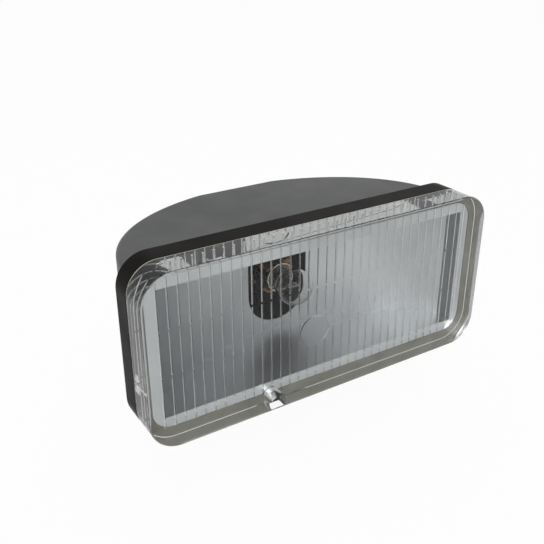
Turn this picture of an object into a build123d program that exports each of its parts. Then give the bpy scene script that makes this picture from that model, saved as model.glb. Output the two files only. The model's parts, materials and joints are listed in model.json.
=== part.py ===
from build123d import *
import math
import os

# Rectangular fog light on a tilting foot bracket. All sizes are in millimetres.
# +X is to the right of someone who faces the lens, +Y runs back into the lamp, +Z is up.
# The origin is the centre of the bracket's bolt hole, on the underside of its foot.
# "Depth" below is the distance behind the front face of the lens.

os.makedirs("parts", exist_ok=True)

# ---- driving dimensions ----

# lens: a thick glass block, smooth in front and fluted on its back
lens_width = 180.0
lens_height = 80.0
lens_depth = 13.5
corner_radius = 14.0
lens_edge_round = 0.8
flute_pitch = 4.77
flute_shift = 0.7               # the middle groove, to the right of the lens's middle
flute_side_margin = 7.0
flute_end_margin = 5.5
groove_radius = 0.4
row_height = 21.4
row_gap = 1.2
row_line_offset = 11.3          # first plain line between flute rows, above the lamp's axis
medallion_radius = 7.6
medallion_rise = 0.6
medallion_x = -4.9
medallion_z = -10.7
notch_radius = 4.4
notch_x = -28.5
notch_drop = 3.0                # notch's centre above the lens's underside
notch_front_web = 2.4
clip_sheet = 0.8
clip_reach = 2.2                # from the clip's middle to its corners

# bezel and its two seals
bezel_depth = 10.7
bezel_side_rim = 4.2
bezel_top_rim = 6.0
bezel_opening_side = 8.5
bezel_opening_top = 9.0
bezel_opening_corner = 1.0
bezel_ledge = 3.5
bezel_edge_round = 0.6
lens_seal_thickness = 1.0
lens_seal_inset = 0.2
housing_seal_thickness = 1.5
fit_gap = 0.2

# housing: a can with a flat top and bottom and a D-shaped plan
housing_wall = 1.5
housing_bulge = 63.8            # half-axis of the D, behind the bezel
housing_flat_cut = 2.0          # taken off the D's tip by its flat back
housing_edge_round = 2.0
post_radius = 4.0

# reflector
reflector_sheet = 0.8
reflector_gap = 0.4
reflector_bowl_depth = 53.5
reflector_side_run = 3.0        # straight part of its sides, behind the flange
flange_side_margin = 4.5        # from the flange's outer edge to the lens's
flange_top_margin = 5.2
opening_half_width = 16.6
opening_end_margin = 9.1        # from the opening's ends to the outside of the can

# bulb, holder and carrier, all on the lamp's axis
globe_radius = 9.0
globe_depth = 38.0
glass_thickness = 0.7
neck_radius = 6.5
cap_radius = 7.5
cap_sheet = 0.5
cap_length = 15.0
cap_front_depth = 49.5
neck_in_cap = 1.5
pin_radius = 1.0
pin_reach = 8.3
pin_from_cap_end = 6.5
contact_radius = 2.2
contact_height = 1.2
contact_round = 0.4
bulb_turn_degrees = 20.0
stem_radius = 2.0
stem_front_depth = 43.5
lead_radius = 0.25
lead_spread = 2.6
filament_radius = 0.55
filament_wire = 0.14
filament_pitch = 0.62
holder_clearance = 0.08
holder_wall = 1.0
holder_front_depth = 54.0
holder_collar_radius = 10.1
holder_collar_length = 2.0
holder_flange_radius = 12.5
holder_flange_thickness = 1.2
carrier_wall = 3.0
carrier_clearance = 0.8
carrier_back_depth = 74.0
carrier_ear_reach = 11.0
carrier_ear_height = 12.0
holder_tail = 3.0               # how far the holder stands out behind the carrier
insulator_thickness = 3.5
slot_clearance = 0.2
cut_margin = 1.0                # how far a cutting shape runs past the metal

# sprung contact
plunger_head_radius = 2.6
plunger_head_thickness = 1.4
plunger_stem_radius = 1.2
plunger_tail = 1.2
contact_gap = 0.05
spring_wire_radius = 0.3
spring_turns = 4
stem_clearance = 0.08

# blade terminals, 6.3 mm wide as on vehicle wiring
blade_width = 6.3
blade_thickness = 0.8
blade_length = 6.5
feed_blade_offset = 4.0
earth_blade_offset = 19.0

# cable grommet and drain vent
grommet_bore = 3.0
grommet_neck = 5.0
grommet_flange = 7.0
grommet_flange_thickness = 2.0
grommet_drop = 19.0
vent_x = 45.0
vent_depth = 60.0
vent_neck = 3.0
vent_flange = 4.5
vent_flange_thickness = 1.2
vent_slit = 0.5
rubber_gap = 0.05

# screws and rivets
screw_radius = 1.5
screw_head_radius = 2.9
screw_head_height = 1.8
screw_length = 10.0
screw_clearance = 0.25
screw_cross_length = 4.0
screw_cross_width = 0.5
screw_hole_tip = 1.0
thread_gap = 0.02
bezel_screw_x = 40.0
tongue_x = 40.0
tongue_width = 12.0
tongue_thickness = 1.8
tongue_depth_in_wall = 1.0
rivet_radius = 2.0
rivet_head_radius = 3.4
rivet_head_height = 1.5
rivet_head_round = 1.2
rivet_tail_radius = 2.6
rivet_tail_height = 0.9
rivet_x = 17.0
rivet_spacing = 10.0

# lug, pivot and bracket
pivot_behind_bowl = 8.0
pivot_height = 24.0             # above the underside of the bracket's foot
pivot_drop = 14.0               # below the underside of the housing
pivot_bolt_radius = 4.0
pivot_clearance = 0.05
lug_plate_thickness = 2.5
lug_plate_width = 46.0
lug_plate_length = 22.0
knuckle_width = 20.0
knuckle_radius = 8.0
friction_washer_thickness = 1.95
friction_washer_radius = 9.0
bracket_sheet = 3.0
bracket_foot_length = 26.0
bracket_ear_radius = 10.0
bracket_shoulder_height = 7.0
bracket_bend = 2.0
mount_hole_radius = 5.25        # clears an M10 bolt
face_gap = 0.05
hex_across_flats = 13.0         # M8
bolt_head_height = 5.3
nut_height = 6.5
nut_washer_thickness = 1.6
nut_washer_radius = 8.0
bolt_end = 3.0

# ---- places worked out from the sizes above ----

pivot_depth = reflector_bowl_depth + pivot_behind_bowl
housing_half_width = lens_width / 2 - bezel_side_rim - fit_gap
housing_half_height = lens_height / 2 - bezel_top_rim - fit_gap
opening_half_height = housing_half_height - opening_end_margin
lamp_height = pivot_height + pivot_drop + housing_half_height
lens_front_y = -pivot_depth

bezel_front = lens_depth + lens_seal_thickness
bezel_back = bezel_front + bezel_depth
ledge_back = bezel_front + bezel_ledge
housing_front = ledge_back + housing_seal_thickness
housing_back = bezel_back + housing_bulge - housing_flat_cut
opening_width = lens_width - 2 * bezel_opening_side
opening_height = lens_height - 2 * bezel_opening_top
bowl_half_width = opening_width / 2 - reflector_gap
bowl_half_height = opening_height / 2 - reflector_gap
flange_front = bezel_front - reflector_sheet
flange_width = lens_width - 2 * flange_side_margin
flange_height = lens_height - 2 * flange_top_margin
flange_corner = corner_radius - flange_top_margin
recess_width = 2 * (housing_half_width + fit_gap)
recess_height = 2 * (housing_half_height + fit_gap)
flute_height_limit = lens_height / 2 - flute_end_margin
flute_width_limit = lens_width / 2 - flute_side_margin

cap_back_depth = cap_front_depth + cap_length
pin_depth = cap_back_depth - pin_from_cap_end
holder_bore = cap_radius + holder_clearance
holder_radius = holder_bore + holder_wall
holder_back_depth = carrier_back_depth + holder_tail
insulator_front_depth = holder_back_depth - insulator_thickness
plunger_front_depth = cap_back_depth + contact_height + contact_gap
spring_front_depth = plunger_front_depth + plunger_head_thickness
screw_seat_x = opening_half_width + carrier_wall + carrier_ear_reach / 2

lamp_axis = Axis((0, 0, lamp_height), (0, 1, 0))


def at_depth(depth):
    """Plane across the lamp at a depth behind the lens's front; its own y is up."""
    return Plane(origin=(0, lens_front_y + depth, lamp_height), x_dir=(1, 0, 0), z_dir=(0, -1, 0))


def level(height):
    """Horizontal plane at a height above the lamp's axis."""
    return Plane.XY.offset(lamp_height + height)


def across(x):
    """Plane through the bracket at a given X; its own x is +Y and its own y is up."""
    return Plane.YZ.offset(x)


def y_at(depth):
    return lens_front_y + depth


def save(part, name):
    part.label = name
    export_step(part, "parts/" + name + ".step")


def d_plan(half_width, bulge, front, back):
    """Plan of the can: straight sides to the bezel's back, then half an ellipse cut off flat."""
    with Locations((0, y_at(bezel_back))):
        Ellipse(half_width, bulge)
    with Locations((0, y_at(bezel_back) - bulge)):
        Rectangle(2 * half_width, 2 * bulge, mode=Mode.SUBTRACT)
    with Locations((0, y_at((front + bezel_back) / 2))):
        Rectangle(2 * half_width, bezel_back - front)
    with Locations((0, y_at(back) + bulge)):
        Rectangle(2 * half_width, 2 * bulge, mode=Mode.SUBTRACT)


def bowl_plan(half_width, front, side_end, bottom):
    """Plan of the reflector: short straight sides, then one arc across the back."""
    with BuildLine() as outline:
        Polyline(
            (half_width, y_at(side_end)),
            (half_width, y_at(front)),
            (-half_width, y_at(front)),
            (-half_width, y_at(side_end)),
        )
        ThreePointArc(
            (-half_width, y_at(side_end)),
            (0, y_at(bottom)),
            (half_width, y_at(side_end)),
        )
    make_face(outline.edges())


def flute_rows():
    """Bottom and top of each row of flutes, from the lens's top edge down."""
    rows = []
    top = flute_height_limit
    line = row_line_offset
    while line > -flute_height_limit:
        rows.append((line + row_gap / 2, top))
        top = line - row_gap / 2
        line -= row_height
    rows.append((-flute_height_limit, top))
    return [row for row in rows if row[1] - row[0] > row_gap]


# ---- lens ----

groove_count = 2 * math.floor(flute_width_limit / flute_pitch) + 1

with BuildPart() as lens:
    with BuildSketch(at_depth(0)):
        RectangleRounded(lens_width, lens_height, corner_radius)
    extrude(amount=-lens_depth)
    fillet(lens.faces().sort_by(Axis.Y)[0].edges(), lens_edge_round)
    for bottom, top in flute_rows():
        with BuildSketch(level(bottom)):
            with Locations((flute_shift, y_at(lens_depth))):
                with GridLocations(flute_pitch, 0, groove_count, 1):
                    Circle(groove_radius)
        extrude(amount=top - bottom, mode=Mode.SUBTRACT)
    with BuildSketch(at_depth(lens_depth - groove_radius)):
        with Locations((medallion_x, medallion_z)):
            Circle(medallion_radius)
    extrude(amount=-groove_radius - medallion_rise)
    with BuildSketch(at_depth(notch_front_web)):
        with Locations((notch_x, notch_drop - lens_height / 2)):
            Circle(notch_radius)
    extrude(amount=-lens_depth, mode=Mode.SUBTRACT)
save(lens.part, "lens")

# ---- lens seal ----

seal_front = lens_depth + face_gap

with BuildPart() as lens_seal:
    with BuildSketch(at_depth(seal_front)):
        RectangleRounded(
            lens_width - 2 * lens_seal_inset,
            lens_height - 2 * lens_seal_inset,
            corner_radius - lens_seal_inset,
        )
        RectangleRounded(
            flange_width + 2 * fit_gap,
            flange_height + 2 * fit_gap,
            flange_corner + fit_gap,
            mode=Mode.SUBTRACT,
        )
    extrude(amount=seal_front - bezel_front)
    with BuildSketch(at_depth(seal_front)):
        with Locations((notch_x, notch_drop - lens_height / 2)):
            Circle(notch_radius)
    extrude(amount=seal_front - bezel_front, mode=Mode.SUBTRACT)
save(lens_seal.part, "lens_seal")

# ---- bezel, with the peg that fills the lens's notch and two tongues for the can ----

peg_radius = notch_radius - fit_gap
peg_front = lens_depth / 2
clip_seat = peg_front - clip_sheet

with BuildPart() as bezel:
    with BuildSketch(at_depth(bezel_front)):
        RectangleRounded(lens_width, lens_height, corner_radius)
    extrude(amount=-bezel_depth)
    fillet(bezel.faces().sort_by(Axis.Y)[-1].edges(), bezel_edge_round)
    with BuildSketch(at_depth(peg_front)):
        with Locations((notch_x, notch_drop - lens_height / 2)):
            Circle(peg_radius)
        with Locations((0, -lens_height)):
            Rectangle(lens_width, lens_height, mode=Mode.SUBTRACT)
    extrude(amount=peg_front - bezel_front)
    with BuildSketch(at_depth(bezel_front)):
        RectangleRounded(opening_width, opening_height, bezel_opening_corner)
    extrude(amount=-bezel_depth, mode=Mode.SUBTRACT)
    with BuildSketch(at_depth(ledge_back)):
        RectangleRounded(recess_width, recess_height, housing_edge_round + fit_gap)
    extrude(amount=-bezel_depth, mode=Mode.SUBTRACT)
    tongue_depth = (housing_front + bezel_back) / 2
    tongue_reach = tongue_depth_in_wall + fit_gap
    with BuildSketch(at_depth(tongue_depth - tongue_thickness / 2)):
        with Locations((0, recess_height / 2 - tongue_reach / 2)):
            with GridLocations(2 * tongue_x, 0, 2, 1):
                Rectangle(tongue_width, tongue_reach)
    extrude(amount=-tongue_thickness)
    with BuildSketch(Plane.XY.offset(lamp_height - lens_height / 2)):
        with Locations((0, y_at(tongue_depth))):
            with GridLocations(2 * bezel_screw_x, 0, 2, 1):
                Circle(screw_radius + screw_clearance)
    extrude(amount=bezel_top_rim + fit_gap, mode=Mode.SUBTRACT)
    with BuildSketch(Plane.XY.offset(lamp_height - lens_height / 2)):
        with Locations((0, y_at(tongue_depth))):
            with GridLocations(2 * bezel_screw_x, 0, 2, 1):
                Circle(screw_head_radius + screw_clearance)
    extrude(amount=screw_head_height, mode=Mode.SUBTRACT)
save(bezel.part, "bezel")

# ---- bright clip on the peg, with which the lens is held to the bezel ----

with BuildPart() as lens_clip:
    with BuildSketch(at_depth(clip_seat)):
        with Locations((notch_x, notch_drop - lens_height / 2)):
            RegularPolygon(clip_reach, 3)
    extrude(amount=-clip_sheet)
save(lens_clip.part, "lens_clip")

# ---- housing ----

with BuildPart() as cavity:
    with BuildSketch(level(0)):
        d_plan(
            housing_half_width - housing_wall,
            housing_bulge - housing_wall,
            housing_front - housing_wall,
            housing_back - housing_wall,
        )
    extrude(amount=housing_half_height - housing_wall, both=True)
    with BuildSketch(at_depth(carrier_back_depth)):
        with GridLocations(2 * screw_seat_x, 0, 2, 1):
            Circle(post_radius)
    extrude(amount=-housing_bulge, mode=Mode.SUBTRACT)

with BuildPart() as housing:
    with BuildSketch(level(0)):
        d_plan(housing_half_width, housing_bulge, housing_front, housing_back)
    extrude(amount=housing_half_height, both=True)
    flat_faces = housing.faces().sort_by(Axis.Z)
    rim_edges = flat_faces[-1].edges() + flat_faces[0].edges()
    front_edges = housing.faces().sort_by(Axis.Y)[0].edges()
    fillet([edge for edge in rim_edges if edge not in front_edges], housing_edge_round)
    add(cavity.part, mode=Mode.SUBTRACT)
    with BuildSketch(at_depth(carrier_back_depth)):
        with GridLocations(2 * screw_seat_x, 0, 2, 1):
            Circle(screw_radius + thread_gap)
    extrude(amount=carrier_wall - screw_length - screw_hole_tip, mode=Mode.SUBTRACT)
    with BuildSketch(at_depth(tongue_depth - tongue_thickness / 2 - fit_gap)):
        with Locations((0, housing_half_height)):
            with GridLocations(2 * tongue_x, 0, 2, 1):
                Rectangle(tongue_width + 2 * fit_gap, 2 * housing_wall)
    extrude(amount=-tongue_thickness - 2 * fit_gap, mode=Mode.SUBTRACT)
    with BuildSketch(level(-housing_half_height)):
        with Locations((0, y_at(tongue_depth))):
            with GridLocations(2 * bezel_screw_x, 0, 2, 1):
                Circle(screw_radius + thread_gap)
        with Locations((vent_x, y_at(vent_depth))):
            Circle(vent_neck + rubber_gap)
        with Locations((0, y_at(pivot_depth))):
            with GridLocations(2 * rivet_x, rivet_spacing, 2, 2):
                Circle(rivet_radius + thread_gap)
    extrude(amount=housing_wall, mode=Mode.SUBTRACT)
    with BuildSketch(at_depth(housing_back)):
        with Locations((0, -grommet_drop)):
            Circle(grommet_neck + rubber_gap)
    extrude(amount=housing_wall, mode=Mode.SUBTRACT)
save(housing.part, "housing")

# ---- housing seal, between the bezel's ledge and the can's front edge ----

with BuildPart() as housing_seal:
    with BuildSketch(at_depth(ledge_back)):
        RectangleRounded(recess_width - fit_gap, recess_height - fit_gap, housing_edge_round)
        Rectangle(
            2 * (housing_half_width - housing_wall - fit_gap),
            2 * (housing_half_height - housing_wall - fit_gap),
            mode=Mode.SUBTRACT,
        )
    extrude(amount=-housing_seal_thickness)
save(housing_seal.part, "housing_seal")

# ---- reflector: flat shelves, curved back, flange and an opening for the bulb ----

bowl_side_end = housing_front + reflector_side_run

with BuildPart() as reflector:
    with BuildSketch(level(0)):
        bowl_plan(bowl_half_width, flange_front, bowl_side_end, reflector_bowl_depth + reflector_sheet)
    extrude(amount=bowl_half_height, both=True)
    with BuildSketch(at_depth(flange_front)):
        RectangleRounded(flange_width, flange_height, flange_corner)
        with Locations((notch_x, notch_drop - lens_height / 2)):
            Circle(notch_radius, mode=Mode.SUBTRACT)
    extrude(amount=-reflector_sheet)
    with BuildSketch(level(0)):
        bowl_plan(
            bowl_half_width - reflector_sheet,
            flange_front - reflector_sheet,
            bowl_side_end,
            reflector_bowl_depth,
        )
    extrude(amount=bowl_half_height - reflector_sheet, both=True, mode=Mode.SUBTRACT)
    with BuildSketch(at_depth(bowl_side_end)):
        SlotOverall(2 * opening_half_height, 2 * opening_half_width, rotation=90)
    extrude(amount=-reflector_bowl_depth, mode=Mode.SUBTRACT)
save(reflector.part, "reflector")

# ---- bulb carrier: a black well behind the reflector's opening ----

well_half_width = opening_half_width + carrier_clearance
well_half_height = opening_half_height + carrier_clearance
carrier_half_width = opening_half_width + carrier_wall
carrier_half_height = opening_half_height + carrier_wall
carrier_floor = carrier_back_depth - carrier_wall

with BuildPart() as bulb_carrier:
    with BuildSketch(at_depth(bowl_side_end)):
        SlotOverall(2 * carrier_half_height, 2 * carrier_half_width, rotation=90)
    extrude(amount=bowl_side_end - carrier_back_depth)
    with BuildSketch(at_depth(carrier_floor)):
        Rectangle(2 * (carrier_half_width + carrier_ear_reach), carrier_ear_height)
    extrude(amount=-carrier_wall)
    with BuildSketch(level(0)):
        bowl_plan(
            lens_width,
            0,
            bowl_side_end + reflector_gap,
            reflector_bowl_depth + reflector_sheet + reflector_gap,
        )
    extrude(amount=lens_height, both=True, mode=Mode.SUBTRACT)
    with BuildSketch(at_depth(bowl_side_end)):
        SlotOverall(2 * well_half_height, 2 * well_half_width, rotation=90)
    extrude(amount=bowl_side_end - carrier_floor, mode=Mode.SUBTRACT)
    with BuildSketch(at_depth(carrier_floor)):
        Circle(holder_radius + fit_gap)
        with GridLocations(2 * screw_seat_x, 0, 2, 1):
            Circle(screw_radius + screw_clearance)
    extrude(amount=-carrier_wall, mode=Mode.SUBTRACT)
save(bulb_carrier.part, "bulb_carrier")


def pan_screws(seat_plane, spacing, length):
    """Two pan-head screws; the heads stand on the plane and the shanks run against its normal."""
    with BuildSketch(seat_plane) as heads:
        with GridLocations(spacing, 0, 2, 1):
            Circle(screw_head_radius)
    extrude(heads.sketch, amount=screw_head_height)
    with BuildSketch(seat_plane) as shanks:
        with GridLocations(spacing, 0, 2, 1):
            Circle(screw_radius)
    extrude(shanks.sketch, amount=-length)
    with BuildSketch(seat_plane.offset(screw_head_height)) as crosses:
        with GridLocations(spacing, 0, 2, 1):
            Rectangle(screw_cross_length, screw_cross_width)
            Rectangle(screw_cross_width, screw_cross_length)
    extrude(crosses.sketch, amount=-screw_head_height / 2, mode=Mode.SUBTRACT)


with BuildPart() as carrier_screws:
    pan_screws(at_depth(carrier_floor), 2 * screw_seat_x, screw_length)
save(carrier_screws.part, "carrier_screws")

bezel_screw_seat = Plane(
    origin=(0, y_at(tongue_depth), lamp_height - lens_height / 2 + screw_head_height),
    x_dir=(1, 0, 0),
    z_dir=(0, 0, -1),
)
bezel_screw_length = bezel_top_rim + fit_gap + housing_wall - screw_head_height - thread_gap

with BuildPart() as bezel_screws:
    pan_screws(bezel_screw_seat, 2 * bezel_screw_x, bezel_screw_length)
save(bezel_screws.part, "bezel_screws")

# ---- lamp holder: a bayonet socket with two L-shaped slots ----

slot_half_width = pin_radius + slot_clearance
slot_half_angle = math.degrees(slot_half_width / holder_bore)

with BuildPart() as lamp_holder:
    with BuildSketch(at_depth(holder_front_depth)):
        Circle(holder_radius)
    extrude(amount=holder_front_depth - holder_back_depth)
    with BuildSketch(at_depth(holder_front_depth)):
        Circle(holder_collar_radius)
    extrude(amount=-holder_collar_length)
    with BuildSketch(at_depth(carrier_floor - holder_flange_thickness)):
        Circle(holder_flange_radius)
    extrude(amount=-holder_flange_thickness)
    with BuildSketch(at_depth(holder_front_depth)):
        Circle(holder_bore)
    extrude(amount=holder_front_depth - holder_back_depth, mode=Mode.SUBTRACT)
    for side in (0, 180):
        entry_angle = side + bulb_turn_degrees
        with BuildSketch(at_depth(holder_front_depth)):
            with PolarLocations(holder_collar_radius / 2, 1, start_angle=-entry_angle):
                Rectangle(holder_collar_radius + cut_margin, 2 * slot_half_width)
        extrude(amount=holder_front_depth - pin_depth - slot_half_width, mode=Mode.SUBTRACT)
        with BuildSketch(at_depth(pin_depth - slot_half_width)):
            with BuildLine():
                reach = holder_radius + cut_margin
                start = -entry_angle
                stop = slot_half_angle - side
                CenterArc((0, 0), reach, start, stop - start)
                tip = (reach * math.cos(math.radians(start)), reach * math.sin(math.radians(start)))
                end = (reach * math.cos(math.radians(stop)), reach * math.sin(math.radians(stop)))
                Polyline(end, (0, 0), tip)
            make_face()
        extrude(amount=-2 * slot_half_width, mode=Mode.SUBTRACT)
save(lamp_holder.part, "lamp_holder")

# ---- insulator disc in the holder's tail ----

with BuildPart() as holder_insulator:
    with BuildSketch(at_depth(insulator_front_depth)):
        Circle(holder_bore - thread_gap)
        Circle(plunger_stem_radius + stem_clearance, mode=Mode.SUBTRACT)
    extrude(amount=-insulator_thickness)
save(holder_insulator.part, "holder_insulator")

# ---- sprung contact ----

with BuildPart() as contact_plunger:
    with BuildSketch(at_depth(plunger_front_depth)):
        Circle(plunger_head_radius)
    extrude(amount=-plunger_head_thickness)
    with BuildSketch(at_depth(plunger_front_depth)):
        Circle(plunger_stem_radius)
    extrude(amount=plunger_front_depth - holder_back_depth - plunger_tail)
save(contact_plunger.part, "contact_plunger")

spring_radius = plunger_head_radius - spring_wire_radius
spring_length = insulator_front_depth - spring_front_depth - 2 * spring_wire_radius
spring_plane = at_depth(spring_front_depth + spring_wire_radius)
spring_base = spring_plane.location * Location((0, 0, 0), (180, 0, 0))

with BuildPart() as contact_spring:
    with BuildLine():
        spring_coil = Helix(spring_length / spring_turns, spring_length, spring_radius)
        spring_path = spring_coil.moved(spring_base)
        add(spring_path)
    with BuildSketch(Plane(origin=spring_path @ 0, z_dir=spring_path % 0)):
        Circle(spring_wire_radius)
    sweep(path=spring_path, is_frenet=True)
save(contact_spring.part, "contact_spring")

# ---- blade terminals ----

with BuildPart() as feed_terminal:
    with BuildSketch(at_depth(holder_back_depth)):
        with Locations((feed_blade_offset, 0)):
            Rectangle(blade_thickness, blade_width)
    extrude(amount=-blade_length)
save(feed_terminal.part, "feed_terminal")

with BuildPart() as earth_terminal:
    earth_inner = holder_radius + fit_gap
    with BuildSketch(at_depth(carrier_back_depth)):
        with Locations((-(earth_inner + earth_blade_offset) / 2, 0)):
            Rectangle(earth_blade_offset - earth_inner, blade_width)
    extrude(amount=-blade_thickness)
    with BuildSketch(at_depth(carrier_back_depth)):
        with Locations((-earth_blade_offset + blade_thickness / 2, 0)):
            Rectangle(blade_thickness, blade_width)
    extrude(amount=-blade_length)
save(earth_terminal.part, "earth_terminal")

# ---- bulb ----

neck_start = globe_depth + math.sqrt(globe_radius**2 - neck_radius**2)
inner_globe = globe_radius - glass_thickness
inner_neck = neck_radius - glass_thickness
inner_neck_start = globe_depth + math.sqrt(inner_globe**2 - inner_neck**2)
neck_end = cap_front_depth + neck_in_cap
globe_side = math.sqrt(0.5)

with BuildPart() as bulb_globe:
    with BuildSketch(level(0)):
        with BuildLine():
            ThreePointArc(
                (0, y_at(globe_depth - globe_radius)),
                (globe_radius * globe_side, y_at(globe_depth - globe_radius * globe_side)),
                (neck_radius, y_at(neck_start)),
            )
            Polyline(
                (neck_radius, y_at(neck_start)),
                (neck_radius, y_at(neck_end)),
                (inner_neck, y_at(neck_end)),
                (inner_neck, y_at(inner_neck_start)),
            )
            ThreePointArc(
                (inner_neck, y_at(inner_neck_start)),
                (inner_globe * globe_side, y_at(globe_depth - inner_globe * globe_side)),
                (0, y_at(globe_depth - inner_globe)),
            )
            Line((0, y_at(globe_depth - inner_globe)), (0, y_at(globe_depth - globe_radius)))
        make_face()
    revolve(axis=lamp_axis)
save(bulb_globe.part, "bulb_globe")

with BuildPart() as bulb_cap:
    with BuildSketch(at_depth(cap_front_depth)):
        Circle(cap_radius)
    extrude(amount=-cap_length)
    with BuildSketch(Plane.YZ.offset(-pin_reach)):
        with Locations((y_at(pin_depth), lamp_height)):
            Circle(pin_radius)
    extrude(amount=2 * pin_reach)
    with BuildSketch(at_depth(cap_front_depth)):
        Circle(cap_radius - cap_sheet)
    extrude(amount=-(cap_length - 2 * cap_sheet), mode=Mode.SUBTRACT)
save(bulb_cap.part, "bulb_cap")

with BuildPart() as bulb_contact:
    with BuildSketch(at_depth(cap_back_depth)):
        Circle(contact_radius)
    extrude(amount=-contact_height)
    fillet(bulb_contact.faces().sort_by(Axis.Y)[-1].edges(), contact_round)
save(bulb_contact.part, "bulb_contact")

with BuildPart() as bulb_stem:
    with BuildSketch(at_depth(stem_front_depth)):
        Circle(stem_radius)
    extrude(amount=stem_front_depth - (cap_back_depth - 2 * cap_sheet))
    fillet(bulb_stem.faces().sort_by(Axis.Y)[0].edges(), stem_radius / 2)
    with BuildSketch(at_depth(neck_end)):
        Circle(inner_neck - fit_gap)
    extrude(amount=-2 * cap_sheet)
save(bulb_stem.part, "bulb_stem")

lead_root = stem_radius / 2

with BuildPart() as bulb_leads:
    for side in (-1, 1):
        with BuildLine() as lead_path:
            Polyline(
                (side * lead_spread, y_at(globe_depth), lamp_height),
                (side * lead_spread, y_at(globe_depth + lead_spread), lamp_height),
                (side * lead_root, y_at(stem_front_depth), lamp_height),
            )
        with BuildSketch(Plane(origin=lead_path.line @ 0, z_dir=lead_path.line % 0)):
            Circle(lead_radius)
        sweep(path=lead_path.line, transition=Transition.RIGHT)
save(bulb_leads.part, "bulb_leads")

filament_length = 2 * (lead_spread - lead_radius) - 2 * filament_wire
filament_base = Plane(
    origin=(-filament_length / 2, y_at(globe_depth), lamp_height),
    x_dir=(0, 1, 0),
    z_dir=(1, 0, 0),
).location

with BuildPart() as bulb_filament:
    with BuildLine():
        coil_path = Helix(filament_pitch, filament_length, filament_radius).moved(filament_base)
        add(coil_path)
    with BuildSketch(Plane(origin=coil_path @ 0, z_dir=coil_path % 0)):
        Circle(filament_wire)
    sweep(path=coil_path, is_frenet=True)
save(bulb_filament.part, "bulb_filament")


def bush(plane, neck, flange, flange_thickness, wall):
    """Rubber bush through a wall whose outer face lies on the plane, the plane's normal outward."""
    with BuildSketch(plane) as outer_flange:
        Circle(flange)
    extrude(outer_flange.sketch, amount=flange_thickness)
    with BuildSketch(plane) as middle:
        Circle(neck)
    extrude(middle.sketch, amount=-wall)
    with BuildSketch(plane.offset(-wall)) as inner_flange:
        Circle((neck + flange) / 2)
    extrude(inner_flange.sketch, amount=-flange_thickness / 2)


# ---- cable grommet and drain vent ----

grommet_plane = Plane(
    origin=(0, y_at(housing_back), lamp_height - grommet_drop),
    x_dir=(1, 0, 0),
    z_dir=(0, 1, 0),
)
grommet_length = grommet_flange_thickness + housing_wall + grommet_flange_thickness / 2

with BuildPart() as cable_grommet:
    bush(grommet_plane, grommet_neck, grommet_flange, grommet_flange_thickness, housing_wall)
    fillet(cable_grommet.faces().sort_by(Axis.Y)[-1].edges(), grommet_flange_thickness / 3)
    with BuildSketch(grommet_plane.offset(grommet_flange_thickness)):
        Circle(grommet_bore)
    extrude(amount=-grommet_length, mode=Mode.SUBTRACT)
save(cable_grommet.part, "cable_grommet")

vent_plane = Plane(
    origin=(vent_x, y_at(vent_depth), lamp_height - housing_half_height),
    x_dir=(1, 0, 0),
    z_dir=(0, 0, -1),
)
vent_length = vent_flange_thickness + housing_wall + vent_flange_thickness / 2

with BuildPart() as drain_vent:
    bush(vent_plane, vent_neck, vent_flange, vent_flange_thickness, housing_wall)
    with BuildSketch(vent_plane.offset(vent_flange_thickness)):
        Rectangle(vent_neck, vent_slit)
    extrude(amount=-vent_length, mode=Mode.SUBTRACT)
save(drain_vent.part, "drain_vent")

# ---- lug under the can, with its rivets ----

lug_top = lamp_height - housing_half_height

with BuildPart() as mount_lug:
    with BuildSketch(Plane.XY.offset(lug_top)):
        RectangleRounded(lug_plate_width, lug_plate_length, rivet_head_radius)
    extrude(amount=-lug_plate_thickness)
    with BuildSketch(across(-knuckle_width / 2)):
        with Locations((0, pivot_height)):
            Circle(knuckle_radius)
        with Locations((0, (pivot_height + lug_top - lug_plate_thickness) / 2)):
            Rectangle(2 * knuckle_radius, lug_top - lug_plate_thickness - pivot_height)
    extrude(amount=knuckle_width)
    with BuildSketch(across(-knuckle_width / 2)):
        with Locations((0, pivot_height)):
            Circle(pivot_bolt_radius + pivot_clearance)
    extrude(amount=knuckle_width, mode=Mode.SUBTRACT)
    with BuildSketch(Plane.XY.offset(lug_top)):
        with GridLocations(2 * rivet_x, rivet_spacing, 2, 2):
            Circle(rivet_radius + thread_gap)
    extrude(amount=-lug_plate_thickness, mode=Mode.SUBTRACT)
save(mount_lug.part, "mount_lug")

with BuildPart() as lug_rivets:
    with BuildSketch(Plane.XY.offset(lug_top - lug_plate_thickness)):
        with GridLocations(2 * rivet_x, rivet_spacing, 2, 2):
            Circle(rivet_radius)
    extrude(amount=lug_plate_thickness + housing_wall)
    with BuildSketch(Plane.XY.offset(lug_top - lug_plate_thickness)):
        with GridLocations(2 * rivet_x, rivet_spacing, 2, 2):
            Circle(rivet_head_radius)
    extrude(amount=-rivet_head_height)
    fillet(lug_rivets.faces().group_by(Axis.Z)[0].edges(), rivet_head_round)
    with BuildSketch(Plane.XY.offset(lug_top + housing_wall)):
        with GridLocations(2 * rivet_x, rivet_spacing, 2, 2):
            Circle(rivet_tail_radius)
    extrude(amount=rivet_tail_height)
save(lug_rivets.part, "lug_rivets")

# ---- bracket and pivot ----

ear_inner = knuckle_width / 2 + friction_washer_thickness + face_gap
ear_outer = ear_inner + bracket_sheet


def edges_along_y(part, distance, height):
    """The part's straight edges along Y at a distance to either side of the middle and a height."""
    return [
        edge
        for edge in part.edges().filter_by(Axis.Y)
        if abs(abs(edge.center().X) - distance) < face_gap
        and abs(edge.center().Z - height) < face_gap
    ]


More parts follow.
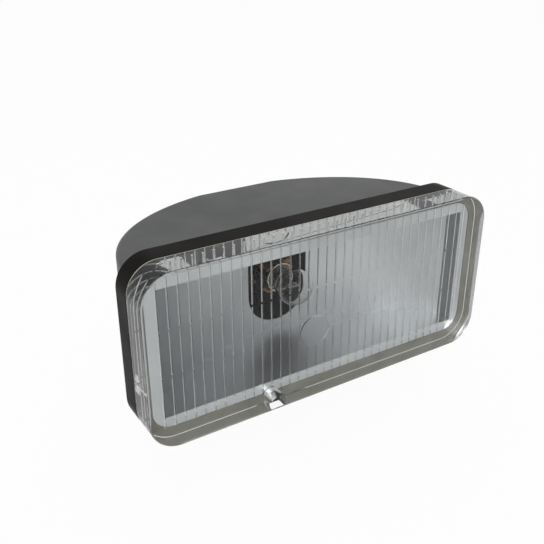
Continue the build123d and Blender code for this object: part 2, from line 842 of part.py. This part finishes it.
with BuildPart() as bracket:
    for x in (-ear_outer, ear_inner):
        with BuildSketch(across(x)):
            with Locations((0, pivot_height)):
                Circle(bracket_ear_radius)
            with Locations((0, bracket_shoulder_height / 2)):
                Rectangle(bracket_foot_length, bracket_shoulder_height)
            make_hull()
        extrude(amount=bracket_sheet)
    with BuildSketch(Plane.XY):
        Rectangle(2 * ear_outer, bracket_foot_length)
    extrude(amount=bracket_sheet)
    fillet(edges_along_y(bracket, ear_inner, bracket_sheet), bracket_bend)
    fillet(edges_along_y(bracket, ear_outer, 0), bracket_sheet)
    with BuildSketch(across(-ear_outer)):
        with Locations((0, pivot_height)):
            Circle(pivot_bolt_radius + pivot_clearance)
    extrude(amount=2 * ear_outer, mode=Mode.SUBTRACT)
    with BuildSketch(Plane.XY):
        Circle(mount_hole_radius)
    extrude(amount=bracket_sheet, mode=Mode.SUBTRACT)
save(bracket.part, "bracket")

with BuildPart() as friction_washers:
    for x in (-ear_inner + face_gap, knuckle_width / 2 + face_gap / 2):
        with BuildSketch(across(x)):
            with Locations((0, pivot_height)):
                Circle(friction_washer_radius)
                Circle(pivot_bolt_radius + pivot_clearance, mode=Mode.SUBTRACT)
        extrude(amount=friction_washer_thickness - face_gap / 2)
save(friction_washers.part, "friction_washers")

nut_seat = ear_outer + nut_washer_thickness

with BuildPart() as nut_washer:
    with BuildSketch(across(ear_outer)):
        with Locations((0, pivot_height)):
            Circle(nut_washer_radius)
            Circle(pivot_bolt_radius + pivot_clearance, mode=Mode.SUBTRACT)
    extrude(amount=nut_washer_thickness)
save(nut_washer.part, "nut_washer")

with BuildPart() as pivot_nut:
    with BuildSketch(across(nut_seat)):
        with Locations((0, pivot_height)):
            RegularPolygon(hex_across_flats / 2, 6, major_radius=False)
            Circle(pivot_bolt_radius + thread_gap, mode=Mode.SUBTRACT)
    extrude(amount=nut_height)
save(pivot_nut.part, "pivot_nut")

with BuildPart() as pivot_bolt:
    with BuildSketch(across(-ear_outer)):
        with Locations((0, pivot_height)):
            RegularPolygon(hex_across_flats / 2, 6, major_radius=False)
    extrude(amount=-bolt_head_height)
    with BuildSketch(across(-ear_outer)):
        with Locations((0, pivot_height)):
            Circle(pivot_bolt_radius)
    extrude(amount=ear_outer + nut_seat + nut_height + bolt_end)
    chamfer(pivot_bolt.faces().sort_by(Axis.X)[-1].edges(), pivot_bolt_radius / 4)
save(pivot_bolt.part, "pivot_bolt")
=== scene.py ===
import json
import math
import bpy
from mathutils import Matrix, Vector


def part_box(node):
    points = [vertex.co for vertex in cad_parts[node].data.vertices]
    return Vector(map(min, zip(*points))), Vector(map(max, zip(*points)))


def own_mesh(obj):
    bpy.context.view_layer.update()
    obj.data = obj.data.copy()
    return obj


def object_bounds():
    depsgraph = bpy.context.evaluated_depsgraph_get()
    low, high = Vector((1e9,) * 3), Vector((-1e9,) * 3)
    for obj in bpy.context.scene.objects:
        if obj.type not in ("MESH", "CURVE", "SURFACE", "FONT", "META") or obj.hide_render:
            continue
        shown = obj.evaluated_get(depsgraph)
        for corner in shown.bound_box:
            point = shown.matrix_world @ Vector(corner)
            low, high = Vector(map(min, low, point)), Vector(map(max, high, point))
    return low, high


# Looks of the fog light: materials for the CAD pieces, studio, camera. Metres, in the CAD frame.

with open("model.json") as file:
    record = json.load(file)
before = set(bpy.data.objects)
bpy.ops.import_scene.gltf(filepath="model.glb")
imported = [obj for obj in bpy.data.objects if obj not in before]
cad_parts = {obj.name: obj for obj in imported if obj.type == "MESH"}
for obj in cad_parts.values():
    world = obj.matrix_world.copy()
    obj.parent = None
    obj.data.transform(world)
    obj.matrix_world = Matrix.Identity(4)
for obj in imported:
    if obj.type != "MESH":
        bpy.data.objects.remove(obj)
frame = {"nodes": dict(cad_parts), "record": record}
cad_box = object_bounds()
nodes = frame["nodes"]

# ---- values of the camera, the studio and the glass ----

CAMERA_AZIMUTH = -32.2          # degrees; the camera stands to the left of the lens
CAMERA_ELEVATION = 25.5
CAMERA_DISTANCE = 0.2985        # to the aim point, in the plane of the lens's front
CAMERA_LENS_MM = 48.7
CAMERA_CLIP_START = 0.01
AIM_LEFT = 0.03245              # the aim point, from the middle of the lens's front
AIM_UP = 0.0288

WORLD_FILL = 0.55               # light of the surroundings on the object
KEY_OFFSET = (-0.5, -0.9, 0.9)  # from the object's middle
KEY_SIZE = (0.8, 0.8)
KEY_WATTS = 7
TOP_OFFSET = (0.1, 0.3, 1.0)
TOP_SIZE = (0.9, 0.6)
TOP_WATTS = 2

FLOOR_DROP = 0.0005
FLOOR_SIZE = 6.0
FLOOR_COLOUR = (0.8, 0.8, 0.8)
FLOOR_ROUGHNESS = 0.9
FLOOR_WHITE_SHARE = 0.96        # what is left of the floor's own colour holds the shadow

NOISE_RANGE = (0.3, 0.7)        # the part of a noise that is mapped to roughness

GLASS_IOR = 1.5
GLASS_ROUGHNESS = (0.0, 0.03)
GLASS_SHEEN = 0.2               # below the usual, so that the white around doesn't veil the inside
GLASS_SHADE = (0.36, 0.38, 0.38)
GLASS_ABSORPTION = 14           # per metre of glass


def node_tree(name):
    """A new material with one Principled shader; returns the material, its tree and the shader."""
    material = bpy.data.materials.new(name)
    material.use_nodes = True
    tree = material.node_tree
    return material, tree, tree.nodes["Principled BSDF"]


def add_node(tree, kind, **values):
    node = tree.nodes.new(kind)
    for key, value in values.items():
        setattr(node, key, value)
    return node


def noise(tree, scale, detail=4.0):
    """Noise over the piece's own coordinates in metres; scale is features per metre."""
    place = add_node(tree, "ShaderNodeTexCoord")
    texture = add_node(tree, "ShaderNodeTexNoise")
    texture.inputs["Scale"].default_value = scale
    texture.inputs["Detail"].default_value = detail
    tree.links.new(place.outputs["Object"], texture.inputs["Vector"])
    return texture.outputs["Fac"]


def ramp(tree, source, low, high, start, end):
    """Colour ramp from low to high over the part of the noise between start and end."""
    node = add_node(tree, "ShaderNodeValToRGB")
    node.color_ramp.elements[0].position = start
    node.color_ramp.elements[1].position = end
    node.color_ramp.elements[0].color = (*low, 1)
    node.color_ramp.elements[1].color = (*high, 1)
    tree.links.new(source, node.inputs["Fac"])
    return node.outputs["Color"]


def spread(tree, source, low, high):
    """The noise mapped to a range of plain numbers."""
    node = add_node(tree, "ShaderNodeMapRange")
    node.inputs["From Min"].default_value = NOISE_RANGE[0]
    node.inputs["From Max"].default_value = NOISE_RANGE[1]
    node.inputs["To Min"].default_value = low
    node.inputs["To Max"].default_value = high
    tree.links.new(source, node.inputs["Value"])
    return node.outputs["Result"]


def bump(tree, shader, source, depth):
    """Surface relief; depth in metres."""
    node = add_node(tree, "ShaderNodeBump")
    node.inputs["Distance"].default_value = depth
    node.inputs["Strength"].default_value = 1.0
    tree.links.new(source, node.inputs["Height"])
    tree.links.new(node.outputs["Normal"], shader.inputs["Normal"])


def surface(
    name, low, high, blotch, rough, metallic=0.0, grain=1500, depth=0.00002, sheen=0.5, blend=(0.35, 0.65)
):
    """A solid surface: blotchy colour, uneven roughness and a fine grain.

    blotch and grain are features per metre, depth is the grain's relief in metres, sheen is the mirror
    share and blend is the part of the noise over which the colour goes from low to high.
    """
    material, tree, shader = node_tree(name)
    shader.inputs["Metallic"].default_value = metallic
    shader.inputs["Specular IOR Level"].default_value = sheen
    tree.links.new(ramp(tree, noise(tree, blotch), low, high, *blend), shader.inputs["Base Color"])
    tree.links.new(spread(tree, noise(tree, blotch * 2.3), *rough), shader.inputs["Roughness"])
    bump(tree, shader, noise(tree, grain, 2.0), depth)
    return material


def glass(name, colour, wave_scale, wave_depth):
    """Clear glass with a slight waviness, which takes up a little light within its thickness."""
    material, tree, shader = node_tree(name)
    shader.inputs["Base Color"].default_value = (*colour, 1)
    shader.inputs["Transmission Weight"].default_value = 1.0
    shader.inputs["IOR"].default_value = GLASS_IOR
    shader.inputs["Specular IOR Level"].default_value = GLASS_SHEEN
    shader.inputs["Specular Tint"].default_value = (GLASS_SHEEN, GLASS_SHEEN, GLASS_SHEEN, 1)
    tree.links.new(spread(tree, noise(tree, wave_scale * 3), *GLASS_ROUGHNESS), shader.inputs["Roughness"])
    bump(tree, shader, noise(tree, wave_scale, 1.0), wave_depth)
    volume = add_node(tree, "ShaderNodeVolumeAbsorption")
    volume.inputs["Color"].default_value = (*GLASS_SHADE, 1)
    volume.inputs["Density"].default_value = GLASS_ABSORPTION
    tree.links.new(volume.outputs["Volume"], tree.nodes["Material Output"].inputs["Volume"])
    return material


LOOKS = {
    "clear_glass": glass("clear_glass", (0.97, 0.98, 0.97), 60, 0.00002),
    "bulb_glass": glass("bulb_glass", (0.98, 0.98, 0.98), 120, 0.00001),
    "beige_rubber": surface("beige_rubber", (0.27, 0.26, 0.22), (0.36, 0.35, 0.30), 90, (0.55, 0.7)),
    "black_rubber": surface("black_rubber", (0.012, 0.012, 0.012), (0.03, 0.03, 0.03), 120, (0.6, 0.8)),
    "black_plastic": surface(
        "black_plastic", (0.006, 0.005, 0.004), (0.012, 0.011, 0.010), 40, (0.24, 0.36), sheen=0.015
    ),
    "black_moulding": surface(
        "black_moulding", (0.005, 0.005, 0.005), (0.011, 0.011, 0.010), 60, (0.5, 0.65), sheen=0.02
    ),
    "grey_paint": surface(
        "grey_paint", (0.064, 0.068, 0.066), (0.082, 0.086, 0.083), 25, (0.38, 0.48), sheen=0.12
    ),
    "black_painted_steel": surface(
        "black_painted_steel", (0.012, 0.012, 0.012), (0.03, 0.03, 0.03), 70, (0.3, 0.45), sheen=0.2
    ),
    "bright_aluminium": surface(
        "bright_aluminium", (0.66, 0.67, 0.69), (0.76, 0.77, 0.79), 18, (0.40, 0.52), 1.0, 500, 0.00001
    ),
    "zinc_steel": surface("zinc_steel", (0.42, 0.41, 0.36), (0.58, 0.57, 0.53), 160, (0.28, 0.42), 1.0),
    "bright_steel": surface("bright_steel", (0.55, 0.55, 0.55), (0.7, 0.7, 0.7), 200, (0.15, 0.25), 1.0),
    "spring_steel": surface("spring_steel", (0.3, 0.3, 0.3), (0.42, 0.42, 0.42), 300, (0.25, 0.35), 1.0),
    "nickel_cap": surface("nickel_cap", (0.5, 0.47, 0.4), (0.62, 0.58, 0.5), 250, (0.18, 0.3), 1.0),
    "solder": surface("solder", (0.35, 0.35, 0.36), (0.5, 0.5, 0.51), 500, (0.35, 0.5), 1.0),
    "lead_wire": surface("lead_wire", (0.4, 0.36, 0.3), (0.52, 0.47, 0.4), 400, (0.25, 0.35), 1.0),
    "tungsten": surface("tungsten", (0.18, 0.18, 0.19), (0.28, 0.28, 0.29), 900, (0.35, 0.5), 1.0),
    "brass": surface(
        "brass", (0.014, 0.010, 0.007), (0.36, 0.16, 0.06), 150, (0.42, 0.55), 1.0, blend=(0.58, 0.66)
    ),
    "brown_board": surface("brown_board", (0.07, 0.035, 0.018), (0.12, 0.065, 0.035), 220, (0.55, 0.7)),
}

for subpart in frame["record"]["subparts"]:
    piece = nodes[subpart["node"]]
    for slot in piece.material_slots:
        slot.material = LOOKS[subpart["material_slot"]]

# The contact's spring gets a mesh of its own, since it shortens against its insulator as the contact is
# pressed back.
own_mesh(nodes["contact_spring"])


def white_for_seen_rays(tree):
    """1 for rays from the camera, a reflection or glass; 0 for rays that carry light."""
    path = add_node(tree, "ShaderNodeLightPath")
    seen = path.outputs["Is Camera Ray"]
    for name in ("Is Glossy Ray", "Is Transmission Ray"):
        either = add_node(tree, "ShaderNodeMath", operation="MAXIMUM")
        tree.links.new(seen, either.inputs[0])
        tree.links.new(path.outputs[name], either.inputs[1])
        seen = either.outputs[0]
    return seen


def make_world():
    world = bpy.data.worlds.new("studio")
    bpy.context.scene.world = world
    world.use_nodes = True
    tree = world.node_tree
    background = tree.nodes["Background"]
    strength = add_node(tree, "ShaderNodeMapRange")
    strength.inputs["To Min"].default_value = WORLD_FILL
    strength.inputs["To Max"].default_value = 1.0
    tree.links.new(white_for_seen_rays(tree), strength.inputs["Value"])
    background.inputs["Color"].default_value = (1, 1, 1, 1)
    tree.links.new(strength.outputs["Result"], background.inputs["Strength"])


def make_floor():
    """A pale floor that reads white and keeps a soft shadow."""
    mesh = bpy.data.meshes.new("floor")
    half = FLOOR_SIZE / 2
    corners = [(-half, -half), (half, -half), (half, half), (-half, half)]
    height = cad_box[0].z - FLOOR_DROP
    mesh.from_pydata([(x, y, height) for x, y in corners], [], [(0, 1, 2, 3)])
    floor = bpy.data.objects.new("floor", mesh)
    bpy.context.scene.collection.objects.link(floor)
    material, tree, shader = node_tree("floor_white")
    shader.inputs["Base Color"].default_value = (*FLOOR_COLOUR, 1)
    shader.inputs["Roughness"].default_value = FLOOR_ROUGHNESS
    glow = add_node(tree, "ShaderNodeEmission")
    mix = add_node(tree, "ShaderNodeMixShader")
    share = add_node(tree, "ShaderNodeMath", operation="MULTIPLY")
    share.inputs[1].default_value = FLOOR_WHITE_SHARE
    tree.links.new(white_for_seen_rays(tree), share.inputs[0])
    tree.links.new(share.outputs[0], mix.inputs["Fac"])
    tree.links.new(shader.outputs["BSDF"], mix.inputs[1])
    tree.links.new(glow.outputs["Emission"], mix.inputs[2])
    tree.links.new(mix.outputs["Shader"], tree.nodes["Material Output"].inputs["Surface"])
    mesh.materials.append(material)


def area_light(name, offset, size, watts):
    """A soft lamp at an offset from the object's middle, turned towards it."""
    light = bpy.data.lights.new(name, "AREA")
    light.shape = "RECTANGLE"
    light.size = size[0]
    light.size_y = size[1]
    light.energy = watts
    lamp = bpy.data.objects.new(name, light)
    bpy.context.scene.collection.objects.link(lamp)
    lamp.location = (cad_box[0] + cad_box[1]) / 2 + Vector(offset)
    lamp.rotation_euler = (-Vector(offset)).to_track_quat("-Z", "Y").to_euler()


def make_camera():
    azimuth = math.radians(CAMERA_AZIMUTH)
    elevation = math.radians(CAMERA_ELEVATION)
    lens_low, lens_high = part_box("lens")
    centre_height = (lens_low.z + lens_high.z) / 2
    aim = Vector((-AIM_LEFT, lens_low.y, centre_height + AIM_UP))
    away = Vector((
        math.sin(azimuth) * math.cos(elevation),
        -math.cos(azimuth) * math.cos(elevation),
        math.sin(elevation),
    ))
    data = bpy.data.cameras.new("camera")
    data.lens = CAMERA_LENS_MM
    data.clip_start = CAMERA_CLIP_START
    camera = bpy.data.objects.new("camera", data)
    bpy.context.scene.collection.objects.link(camera)
    camera.location = aim + away * CAMERA_DISTANCE
    camera.rotation_euler = (-away).to_track_quat("-Z", "Y").to_euler()
    bpy.context.scene.camera = camera


make_world()
make_floor()
make_camera()
area_light("key", KEY_OFFSET, KEY_SIZE, KEY_WATTS)
area_light("top", TOP_OFFSET, TOP_SIZE, TOP_WATTS)

bpy.context.scene.view_settings.view_transform = "Standard"
